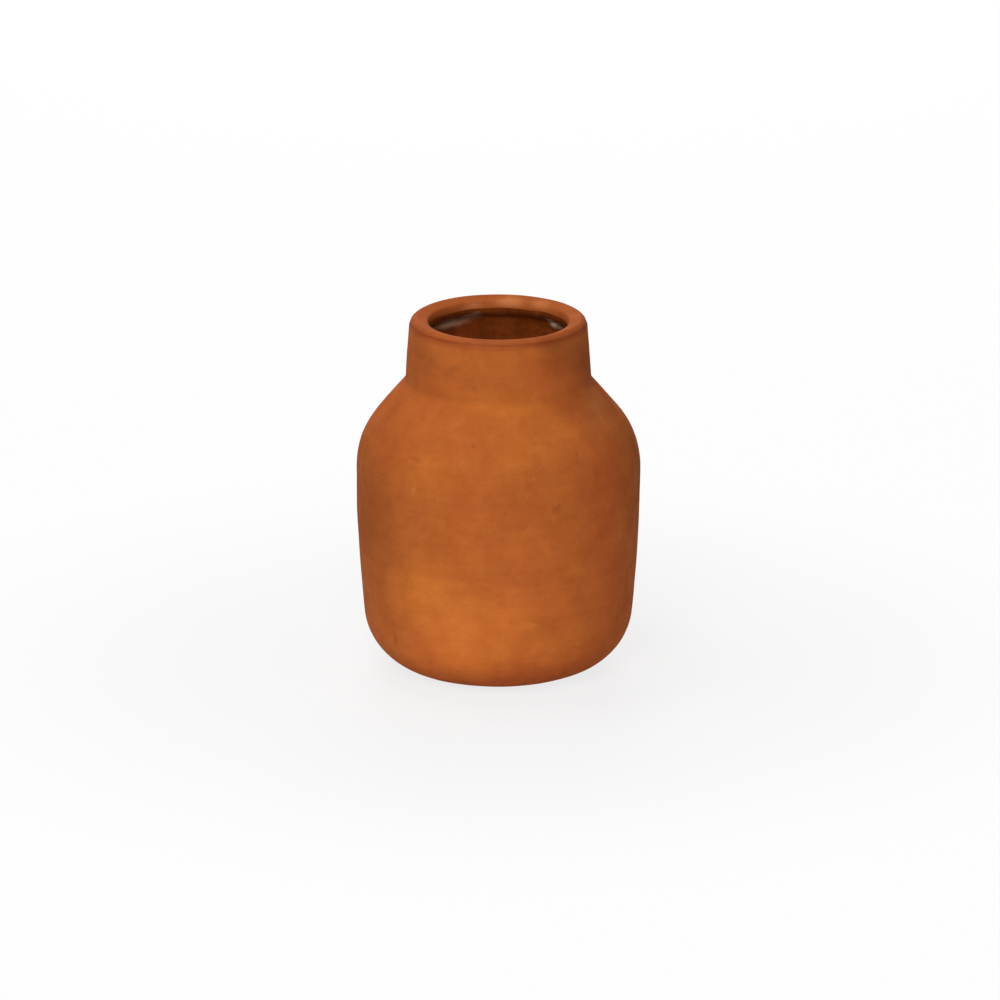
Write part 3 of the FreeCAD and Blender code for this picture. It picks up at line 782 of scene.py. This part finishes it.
# degrees from the front, height in mm, half width and half height in mm, lean in degrees, strength
AMBER_CLOUDS_AND_GLOW = [
    (-32, 202, 48, 36, 0, 0.4),
    # these four lift the shoulder under the neck and the cove there: painted light over the crease's shade
    (7, 222, 34, 24, 0, 0.35),
    (33, 226, 30, 24, 0, 0.35),
    (10, 248, 60, 14, 0, 0.3),
    (4, 255, 58, 13, 0, 0.42),
    # these four are a painted glow from the floor on the lower front wall
    (-34, 93, 50, 48, 0, 0.6),
    (-4, 72, 70, 42, 0, 0.34),
    (-20, 42, 52, 30, 0, 0.24),
    (26, 46, 40, 30, 0, 0.3),
    (105, 66, 60, 34, 0, 0.4),
    (150, 196, 60, 40, 0, 0.4),
    (204, 92, 56, 44, 0, 0.4),
    (-118, 84, 54, 50, 0, 0.4),
    (-104, 214, 44, 26, 0, 0.3),
]
RED_CLOUDS = [
    (48, 184, 60, 76, 0, 0.4),
    (50, 118, 40, 60, 0, 0.4),
    (36, 276, 40, 22, 0, 0.35),
    (-3, 137, 30, 18, 0, 0.3),
    (128, 128, 44, 60, 0, 0.45),
    (182, 232, 60, 30, 0, 0.4),
    (-92, 152, 48, 60, 0, 0.35),
]
DARK_CLOUDS_AND_SHADE = [
    (-61, 144, 50, 60, 0, 0.27),
    (76, 164, 40, 62, 0, 0.2),
    (-2, 114, 34, 26, 0, 0.1),
    # these three are painted shade on the neck's sides, where they turn from the light
    (45, 292, 34, 22, 0, 0.3),
    (66, 280, 28, 26, 0, 0.26),
    (-58, 288, 30, 20, 0, 0.2),
    (29, 168, 16, 11, 0, 0.12),
    (166, 136, 46, 30, 0, 0.12),
    (-146, 196, 30, 36, 0, 0.12),
]
print(len(AMBER_CLOUDS_AND_GLOW), "amber,", len(RED_CLOUDS), "red and", len(DARK_CLOUDS_AND_SHADE), "dark clouds")

# %% [markdown]
# Use leaves smaller marks: brown smudges from hands and pale scuffs from knocks. Some pale marks are painted
# light instead: lit patches on the shoulder's right edge and highlights on the back of the lip's inner side.
# The lip has an outer and an inner side, so a mark on it also has its distance from the axis.

# %% Smudges, scuffs and painted highlights
# as the clouds, and for a mark on the lip its radius in mm
SMUDGES = [
    # the first two darken the lip and its line at the front right and the front left
    (37, 302, 21, 9, 0, 0.28, 70),
    (-66, 303, 19, 9, 0, 0.22, 69),
    (-47, 282, 8, 6, 20, 0.18),
    (-30, 280, 12, 6, -30, 0.18),
    (-18, 270, 12, 8, 20, 0.15),
    (-38, 209, 10, 3.2, 4, 0.26),
    (-12, 224, 5, 3, 0, 0.18),
    (36, 210, 3, 11, 8, 0.18),
    (-50, 44, 3, 14, 4, 0.24),
    (24, 172, 8, 4.5, -35, 0.26),
    (118, 203, 11, 3.2, -6, 0.24),
    (176, 118, 3.4, 13, 10, 0.2),
    (228, 238, 10, 4, 15, 0.2),
    (-98, 118, 9, 3.5, -20, 0.24),
]
SCUFFS_AND_HIGHLIGHTS = [
    (-36, 184, 3.5, 5, 20, 0.38),
    (15, 71, 9, 1.8, 14, 0.38),
    (36, 48, 8, 1.6, 6, 0.35),
    # these two are painted light on the shoulder's right edge
    (62, 232, 36, 20, 0, 0.28),
    (70, 244, 26, 14, 0, 0.3),
    (98, 176, 10, 1.8, -9, 0.38),
    (161, 60, 9, 1.7, 12, 0.38),
    (206, 178, 4, 5, 0, 0.35),
    (-112, 56, 9, 1.6, -7, 0.38),
    # the last three are painted highlights on the back of the lip's inner side
    (171, 302, 17, 6.5, 0, 0.85, 59),
    (144, 303, 13, 5.5, 0, 0.65, 59.5),
    (-158, 299.5, 14, 6, 0, 0.75, 59),
]
print(len(SMUDGES), "smudges and", len(SCUFFS_AND_HIGHLIGHTS), "scuffs")

# %% [markdown]
# Each cloud or mark is a soft oval. A Mapping node takes a spot into the oval's own axes, where the distance from
# its middle says how much of its tint is mixed in. A painted image could carry the marks as well, but it would
# need an unwrapped mesh, and it would end at the seams.

# %% Soft patches
PATCH_DEPTH = 0.03
PATCH_CORE = 0.15


def wall_radius(height):
    """The outside radius of the vase at a height in metres."""
    profile = np.vstack([outside_runs[name] for name in NODES if name != "lip"])
    return float(np.interp(height, profile[:, 1], profile[:, 0]))


def patch(tree, spot, azimuth, height, across, up, lean, strength, radius=None):
    """How much a soft patch covers a spot, from 0 to its strength; without a radius it is on the outer wall."""
    turn, level = math.radians(azimuth), height / 1000
    radius = radius / 1000 if radius else wall_radius(level)
    sockets = {
        "Vector": spot,
        "Location": (radius * math.sin(turn), -radius * math.cos(turn), level),
        "Rotation": (0.0, math.radians(lean), turn),
        "Scale": (across / 1000, PATCH_DEPTH, up / 1000),
    }
    local = add(tree, "ShaderNodeMapping", sockets, vector_type="TEXTURE").outputs[0]
    return ranged(tree, length(tree, local), 1.0, PATCH_CORE, 0.0, strength)


def patched(tree, colour, spot, patches, tint):
    """The colour with each patch of a list mixed in."""
    for one in patches:
        colour = mixed(tree, patch(tree, spot, *one), colour, tint)
    return colour


print(f"wall radius at the widest line: {wall_radius(WIDEST) * 1000:.1f} mm")

# %% [markdown]
# The lip was compressed with a wet leather, so it is denser and a little glossier than the wall. Its tooled line
# is darkened with a deep red: painted shade in the groove, patchy along it and weaker in front and behind. The
# line's colour is found as its shape was: by the angle round the lip's own centre.

# %% The lip's line and its painted shade
# painted shade in the tooled line, in a deep red
LINE_SHADE_RED = srgb(142, 52, 14)
LINE_SPREAD = 0.46
LINE_RAGGEDNESS = 0.12
RAGGED_NOISE = (160.0, 3.0)
LINE_SHADE_NOISE = (22.0, 2.0)
LINE_SHADE_RANGE = (0.2, 0.6)
LINE_SHADE_EASE_REACH = (0.01, 0.045)
LINE_SHADE_EASE = (0.45, 1.25)


def line_shaded(tree, spot, colour):
    """The colour with painted shade in the lip's tooled line, in a deep red, unevenly along it."""
    axes = add(tree, "ShaderNodeSeparateXYZ", {0: spot}).outputs
    level = add(tree, "ShaderNodeCombineXYZ", {0: axes["X"], 1: axes["Y"]}).outputs[0]
    outward = calc(tree, "SUBTRACT", length(tree, level), ROLL_CENTRE[0])
    rise = calc(tree, "SUBTRACT", axes["Z"], ROLL_CENTRE[1])
    angle = calc(tree, "ARCTAN2", rise, outward)
    ragged = noise(tree, spot, *RAGGED_NOISE)
    ragged = calc(tree, "MULTIPLY_ADD", ragged, LINE_RAGGEDNESS, -LINE_RAGGEDNESS / 2)
    off_line = calc(tree, "ADD", calc(tree, "SUBTRACT", angle, LINE_ANGLE), ragged)
    in_line = ranged(tree, calc(tree, "ABSOLUTE", off_line), LINE_SPREAD, 0.0)
    held = ranged(tree, noise(tree, spot, *LINE_SHADE_NOISE), *NOISE_RANGE, *LINE_SHADE_RANGE)
    left = ranged(tree, calc(tree, "ABSOLUTE", axes["X"]), *LINE_SHADE_EASE_REACH, *LINE_SHADE_EASE)
    factor = calc(tree, "MULTIPLY", in_line, calc(tree, "MULTIPLY", held, left))
    return mixed(tree, factor, colour, LINE_SHADE_RED)


print("the slip covers the lip's line by", LINE_SHADE_RANGE[0], "to", LINE_SHADE_RANGE[1])

# %% [markdown]
# The clay's colour is laid on in the order in which it came to the pot: the kiln's clouds, the denser lip, then
# marks and wear. Painted light and shade ride along in the clouds and the marks. Each layer is a Mix node over
# the layers before it.

# %% Colour from the kiln and from use, with painted light and shade
# noises: scale, detail, roughness and distortion
CLOUD_NOISE = (9.0, 2.0, 0.5, 0.3)
WEAR_NOISE = (15.0, 7.0, 0.68, 0.2)
# how edges stray: scale of the noise and reach in metres
CLOUD_STRAY = (24.0, 0.022)
SMUDGE_STRAY = (190.0, 0.005)
SCUFF_AND_HIGHLIGHT_STRAY = (420.0, 0.002)
# the range of a noise and the amounts that it becomes
KILN_RED = (0.42, 0.72, 0.0, 0.35)
WORN_PALE = (0.58, 0.76, 0.0, 0.22)
WORN_DARK = (0.42, 0.26, 0.0, 0.2)
CLAY_LIP = srgb(170, 86, 37)
LIP_COVER = 0.9


def clay_colour_and_painted_light(tree, spot, on_lip):
    """The clay's colour from the kiln, with the denser lip, the marks of use and painted light and shade."""
    colour = mixed(tree, ranged(tree, noise(tree, spot, *CLOUD_NOISE), *KILN_RED), CLAY, CLAY_RED)
    drifted = strayed(tree, spot, *CLOUD_STRAY)
    colour = patched(tree, colour, drifted, AMBER_CLOUDS_AND_GLOW, CLAY_AMBER_AND_GLOW)
    colour = patched(tree, colour, drifted, RED_CLOUDS, CLAY_RED)
    colour = patched(tree, colour, drifted, DARK_CLOUDS_AND_SHADE, CLAY_GRIME_AND_SHADE)
    colour = mixed(tree, calc(tree, "MULTIPLY", on_lip, LIP_COVER), colour, CLAY_LIP)
    colour = patched(tree, colour, strayed(tree, spot, *SMUDGE_STRAY), SMUDGES, CLAY_GRIME_AND_SHADE)
    colour = patched(tree, colour, strayed(tree, spot, *SCUFF_AND_HIGHLIGHT_STRAY), SCUFFS_AND_HIGHLIGHTS, CLAY_PALE_AND_HIGHLIGHT)
    worn = noise(tree, spot, *WEAR_NOISE)
    colour = mixed(tree, ranged(tree, worn, *WORN_PALE), colour, CLAY_PALE_AND_HIGHLIGHT)
    return mixed(tree, ranged(tree, worn, *WORN_DARK), colour, CLAY_GRIME_AND_SHADE)


print("the lip's denser clay covers the clouds by", LIP_COVER)

# %% [markdown]
# Over that lie dust at the foot, the tone that the wet sponge left, the grain of sand and the painted shade in
# the lip's line. The sand and the mottling shape the bumps too, so a grain that shows in the colour also catches
# the light.

# %% Terracotta colour and surface
MOTTLE_NOISE = (42.0, 5.0, 0.6, 0.3)
STREAK_NOISE = (1.0, 3.0, 0.6)
STREAK_STRETCH = (9.0, 9.0, 150.0)
SAND_NOISE = (900.0, 2.0, 0.6)
SPECK_NOISE = (480.0, 1.0, 0.4)
PORE_NOISE = (520.0, 1.0, 0.5)
LIP_HEIGHTS = (ROLL_CENTRE[1] - 0.003, ROLL_CENTRE[1] + 0.004)
DUST_AT_FOOT = (FOOT + 0.006, FOOT + 0.0005, 0.0, 0.45)
MOTTLE_SHARE = 0.74
STREAK_SHARE = 0.26
DENSE_TONE = (0.90, 0.86, 0.86, 1.0)
OPEN_TONE = (1.08, 1.11, 1.11, 1.0)
SAND_TONE = (0.95, 1.05)
SPECK_TONE = (0.72, 0.78, 1.0, 0.75)
CLAY_SPECULAR = 0.14
WALL_ROUGHNESS = (0.92, 0.8)
LIP_GLOSS = 0.2
PORE_EDGE = (0.30, 0.38)
PORE_HEIGHT = 0.5
SAND_HEIGHT = 0.35
CLAY_BUMP = (0.35, 0.0003)


def terracotta():
    """The clay's material: matte on the wall and denser, so a little glossier, on the lip."""
    material, tree, shader = new_material("terracotta")
    spot = add(tree, "ShaderNodeTexCoord").outputs["Object"]
    height = add(tree, "ShaderNodeSeparateXYZ", {0: spot}).outputs["Z"]
    on_lip = ranged(tree, height, *LIP_HEIGHTS)
    mottle = noise(tree, spot, *MOTTLE_NOISE)
    streaks = noise(tree, vector(tree, "MULTIPLY", spot, STREAK_STRETCH), *STREAK_NOISE)
    sand = noise(tree, spot, *SAND_NOISE)

    colour = clay_colour_and_painted_light(tree, spot, on_lip)
    colour = mixed(tree, ranged(tree, height, *DUST_AT_FOOT), colour, CLAY_PALE_AND_HIGHLIGHT)
    wiped = calc(tree, "MULTIPLY_ADD", mottle, MOTTLE_SHARE, calc(tree, "MULTIPLY", streaks, STREAK_SHARE))
    tone = mixed(tree, ranged(tree, wiped, *NOISE_RANGE), DENSE_TONE, OPEN_TONE)
    colour = mixed(tree, 1.0, colour, tone, "MULTIPLY")
    specks = ranged(tree, noise(tree, spot, *SPECK_NOISE), *SPECK_TONE)
    grain = calc(tree, "MULTIPLY", ranged(tree, sand, *NOISE_RANGE, *SAND_TONE), specks)
    colour = mixed(tree, 1.0, colour, grain, "MULTIPLY")
    tree.links.new(line_shaded(tree, spot, colour), shader.inputs["Base Color"])

    shader.inputs["Specular IOR Level"].default_value = CLAY_SPECULAR
    matte = ranged(tree, mottle, *NOISE_RANGE, *WALL_ROUGHNESS)
    roughness = calc(tree, "SUBTRACT", matte, calc(tree, "MULTIPLY", on_lip, LIP_GLOSS))
    tree.links.new(roughness, shader.inputs["Roughness"])
    pores = ranged(tree, noise(tree, spot, *PORE_NOISE), *PORE_EDGE)
    rough = calc(tree, "MULTIPLY_ADD", pores, PORE_HEIGHT, mottle)
    bumped(tree, shader, calc(tree, "MULTIPLY_ADD", sand, SAND_HEIGHT, rough), *CLAY_BUMP)
    print(f"terracotta: {len(tree.nodes)} nodes")
    return material


clay = terracotta()
for piece in clay_pieces.values():
    piece.data.materials.append(clay)

# %% [markdown]
# ## Brown glaze
# The lining is a dark iron glaze: a thin glass over the clay. It is almost black brown where it is thick and
# redder where it is thin, and it is glossy, so it shows the light that falls in through the mouth. Below the neck
# its colour is painted lighter and redder, as painted light in the dark inside. Pale reflections on its ledges
# under the lip are painted into the colour, and painted shade darkens it high in the hollow under the lip. The
# painted reflections are drawn as the clay's marks are.

# %% Glaze colour and surface, with painted light, shade and reflections
GLAZE_THIN = srgb(150, 72, 28)
GLAZE_THICK = srgb(118, 54, 20)
# painted light: below the neck the inside is made lighter and redder
INSIDE_LIGHT_TINT = (1.7, 2.2, 3.0, 1.0)
INSIDE_LIGHT_BELOW = (NECK_FOOT, NECK_FOOT - 0.05)
# painted reflections: pale patches on the glaze's ledges under the lip
REFLECTION_TINT = srgb(225, 200, 170)
# as the marks on the lip
PAINTED_REFLECTIONS = [
    (-139, 287.5, 28, 8.5, 0, 0.36, 66.5),
    (-158, 290.5, 14, 6, 0, 0.36, 66),
    (134, 289, 7, 6.5, 0, 1.0, 66),
    (128, 287.5, 7, 4, 0, 0.4, 66),
]
REFLECTION_STRAY = (120.0, 0.006)
RUN_STRETCH = (60.0, 60.0, 14.0)
RUN_NOISE = (1.0, 3.0, 0.55, 0.4)
CURDLE_NOISE = (260.0, 3.0, 0.6)
CURDLE_TONE = (0.88, 1.1)
CURDLE_ROUGHNESS = (0.14, 0.24)
# painted shade: the glaze is darker high in the hollow under the lip
HOLLOW_SHADE = (0.2900, 0.2935, 1.0, 0.9)
GLAZE_BUMP = (0.2, 0.0004)

brown_glaze, tree, shader = new_material("brown_glaze")
spot = add(tree, "ShaderNodeTexCoord").outputs["Object"]
level = add(tree, "ShaderNodeSeparateXYZ", {0: spot}).outputs["Z"]
runs = noise(tree, vector(tree, "MULTIPLY", spot, RUN_STRETCH), *RUN_NOISE)
curdle = noise(tree, spot, *CURDLE_NOISE)
colour = mixed(tree, ranged(tree, runs, *NOISE_RANGE), GLAZE_THIN, GLAZE_THICK)
colour = mixed(tree, 1.0, colour, ranged(tree, curdle, *NOISE_RANGE, *CURDLE_TONE), "MULTIPLY")
colour = mixed(tree, 1.0, colour, ranged(tree, level, *HOLLOW_SHADE), "MULTIPLY")
lit_inside = mixed(tree, 1.0, colour, INSIDE_LIGHT_TINT, "MULTIPLY")
colour = mixed(tree, ranged(tree, level, *INSIDE_LIGHT_BELOW), colour, lit_inside)
colour = patched(tree, colour, strayed(tree, spot, *REFLECTION_STRAY), PAINTED_REFLECTIONS, REFLECTION_TINT)
tree.links.new(colour, shader.inputs["Base Color"])
tree.links.new(ranged(tree, curdle, *NOISE_RANGE, *CURDLE_ROUGHNESS), shader.inputs["Roughness"])
bumped(tree, shader, runs, *GLAZE_BUMP)
glaze_piece.data.materials.append(brown_glaze)
print("brown glaze:", len(tree.nodes), "nodes")

# %% [markdown]
# ## Felt
# Felt is pressed wool: matte, soft at the edge and mottled by its fibres. Its sheen is a constant of the shader,
# and a fine noise that strays from its place draws the fibres.

# %% Felt colour and surface
FELT_DARK = srgb(74, 58, 46)
FELT_PALE = srgb(122, 101, 82)
FIBRE_STRAY = (700.0, 0.004)
FIBRE_NOISE = (1500.0, 4.0, 0.7)
FELT_ROUGHNESS = 0.95
FELT_SHEEN = 0.4
FELT_BUMP = (0.8, 0.0004)

felt, tree, shader = new_material("felt")
spot = add(tree, "ShaderNodeTexCoord").outputs["Object"]
fibres = noise(tree, strayed(tree, spot, *FIBRE_STRAY), *FIBRE_NOISE)
colour = mixed(tree, ranged(tree, fibres, *NOISE_RANGE), FELT_DARK, FELT_PALE)
tree.links.new(colour, shader.inputs["Base Color"])
shader.inputs["Roughness"].default_value = FELT_ROUGHNESS
shader.inputs["Sheen Weight"].default_value = FELT_SHEEN
bumped(tree, shader, fibres, *FELT_BUMP)
for pad in felt_pieces:
    pad.data.materials.append(felt)
print("felt:", len(tree.nodes), "nodes")

# %% [markdown]
# ## Floor
# The photograph has the vase on plain white. A pale floor stands in for it. To the camera and in reflections the
# floor is mostly its own white, and more so far from the vase, so it stays pale while the soft shadow of the
# vase still shows on it. Light that bounces sees a plain matte floor instead.

# %% Floor
FLOOR_HALF = 12.0
FLOOR_MATTE = (0.86, 0.85, 0.84, 1.0)
FLOOR_WHITE_NEAR = 0.80
FLOOR_WHITE_FAR = 0.97
NEAR, FAR = 0.12, 0.6
GLOSS_WHITE = 0.45
WHITE = (1.0, 1.0, 1.0, 1.0)

corners = [(-FLOOR_HALF, -FLOOR_HALF, 0), (FLOOR_HALF, -FLOOR_HALF, 0),
           (FLOOR_HALF, FLOOR_HALF, 0), (-FLOOR_HALF, FLOOR_HALF, 0)]
floor_mesh = bpy.data.meshes.new("studio_floor")
floor_mesh.from_pydata(corners, [], [(0, 1, 2, 3)])
floor = bpy.data.objects.new("studio_floor", floor_mesh)
bpy.context.scene.collection.objects.link(floor)


def seen_directly(tree):
    """1 for what the camera sees, less for what it sees in a gloss, and 0 for light that bounces."""
    path = add(tree, "ShaderNodeLightPath").outputs
    in_gloss = calc(tree, "MULTIPLY", path["Is Glossy Ray"], GLOSS_WHITE)
    return calc(tree, "MAXIMUM", path["Is Camera Ray"], in_gloss)


pale_floor, tree, shader = new_material("pale_floor")
tree.nodes.remove(shader)
matte = add(tree, "ShaderNodeBsdfDiffuse", {"Color": FLOOR_MATTE}).outputs[0]
white = add(tree, "ShaderNodeEmission", {"Color": WHITE}).outputs[0]
away = length(tree, add(tree, "ShaderNodeTexCoord").outputs["Object"])
own_white = ranged(tree, away, NEAR, FAR, FLOOR_WHITE_NEAR, FLOOR_WHITE_FAR)
share = calc(tree, "MULTIPLY", seen_directly(tree), own_white)
surface = add(tree, "ShaderNodeMixShader", {0: share, 1: matte, 2: white}).outputs[0]
tree.links.new(surface, tree.nodes["Material Output"].inputs["Surface"])
floor_mesh.materials.append(pale_floor)
print("the floor's own white:", FLOOR_WHITE_NEAR, "near the vase,", FLOOR_WHITE_FAR, "far off")

# %% [markdown]
# ## World
# Round the floor the world is white to the camera, as the photograph's background is. To the vase it gives only a
# weak light from all sides, which keeps the shadows open.

# %% World
AMBIENT = 0.107
world = bpy.data.worlds.new("studio")
bpy.context.scene.world = world
world.use_nodes = True
tree = world.node_tree
background = tree.nodes["Background"]
background.inputs["Color"].default_value = WHITE
sockets = {"Value": seen_directly(tree), "To Min": AMBIENT, "To Max": 1.0}
strength = add(tree, "ShaderNodeMapRange", sockets).outputs["Result"]
tree.links.new(strength, background.inputs["Strength"])
print("world:", AMBIENT, "of white on the vase")

# %% [markdown]
# ## Light
# In the photograph the light comes from the front and from above left, and the pale floor throws a glow on the
# lower wall. Soft square lamps that face the vase give the first two. One behind it keeps the back readable, and
# is kept out of reflections so that it leaves no glare on the lip. Three cards that lie on the floor and shine
# straight up give the glow without a bright patch on the floor.
# A lamp's level is how brightly it alone would show a surface that faces it, where 1 is the colour as written.

# %% Lamps
# degrees from the camera's side, degrees up, distance, size, level, height that it aims at
LAMPS = {
    "front": (-9, 34, 3.0, 1.5, 0.497, 0.15),
    "top_left": (-90, 76, 0.7, 0.315, 0.404, 0.25),
    "back": (180, 22, 3.0, 1.5, 0.5, 0.15),
}
# degrees from the camera's side, distance, size, level
CARDS = {
    "front_card": (-8, 0.24, 0.14, 0.126),
    "left_card": (-28, 0.18, 0.08, 0.033),
    "right_card": (32, 0.19, 0.08, 0.016),
}
CARD_HEIGHT = 0.002


def soft_light(name, spot, toward, size, level, distance):
    """A square soft light at a spot; level 1 shows a surface that faces it from that distance as written."""
    data = bpy.data.lights.new(name, "AREA")
    data.size = size
    data.energy = level * math.pi**2 * distance**2
    made = bpy.data.objects.new(name, data)
    made.location = spot
    made.rotation_mode = "QUATERNION"
    made.rotation_quaternion = toward.to_track_quat("-Z", "Y")
    made.visible_camera = False
    bpy.context.scene.collection.objects.link(made)
    print(f"{name}: {data.energy:.2f} W")
    return made


for name, (azimuth, elevation, distance, size, level, aim) in LAMPS.items():
    a, e = math.radians(azimuth), math.radians(elevation)
    away = Vector((math.sin(a) * math.cos(e), -math.cos(a) * math.cos(e), math.sin(e)))
    lamp = soft_light(name, Vector((0, 0, aim)) + away * distance, -away, size, level, distance)
    lamp.visible_glossy = name != "back"
for name, (azimuth, distance, size, level) in CARDS.items():
    a = math.radians(azimuth)
    spot = Vector((distance * math.sin(a), -distance * math.cos(a), CARD_HEIGHT))
    soft_light(name, spot, Vector((0, 0, 1)), size, level, distance)

# %% [markdown]
# ## Camera
# The outline of the photograph fits a long lens that looks down at about seventeen degrees from far away.

# %% Camera
ELEVATION = math.radians(17.3)
DISTANCE = 6.78
LENS = 288.0
SENSOR = 36.0
SIGHT = 100.0
AIM = Vector((0.00136, 0.0, 0.1456))
camera_data = bpy.data.cameras.new("camera")
camera_data.lens = LENS
camera_data.sensor_width = SENSOR
camera_data.clip_end = SIGHT
camera = bpy.data.objects.new("camera", camera_data)
back = Vector((0.0, -math.cos(ELEVATION), math.sin(ELEVATION)))
camera.location = AIM + back * DISTANCE
camera.rotation_mode = "QUATERNION"
camera.rotation_quaternion = (-back).to_track_quat("-Z", "Y")
bpy.context.scene.collection.objects.link(camera)
bpy.context.scene.camera = camera
bpy.context.scene.view_settings.view_transform = "Standard"
print("camera at", tuple(round(v, 3) for v in camera.location))
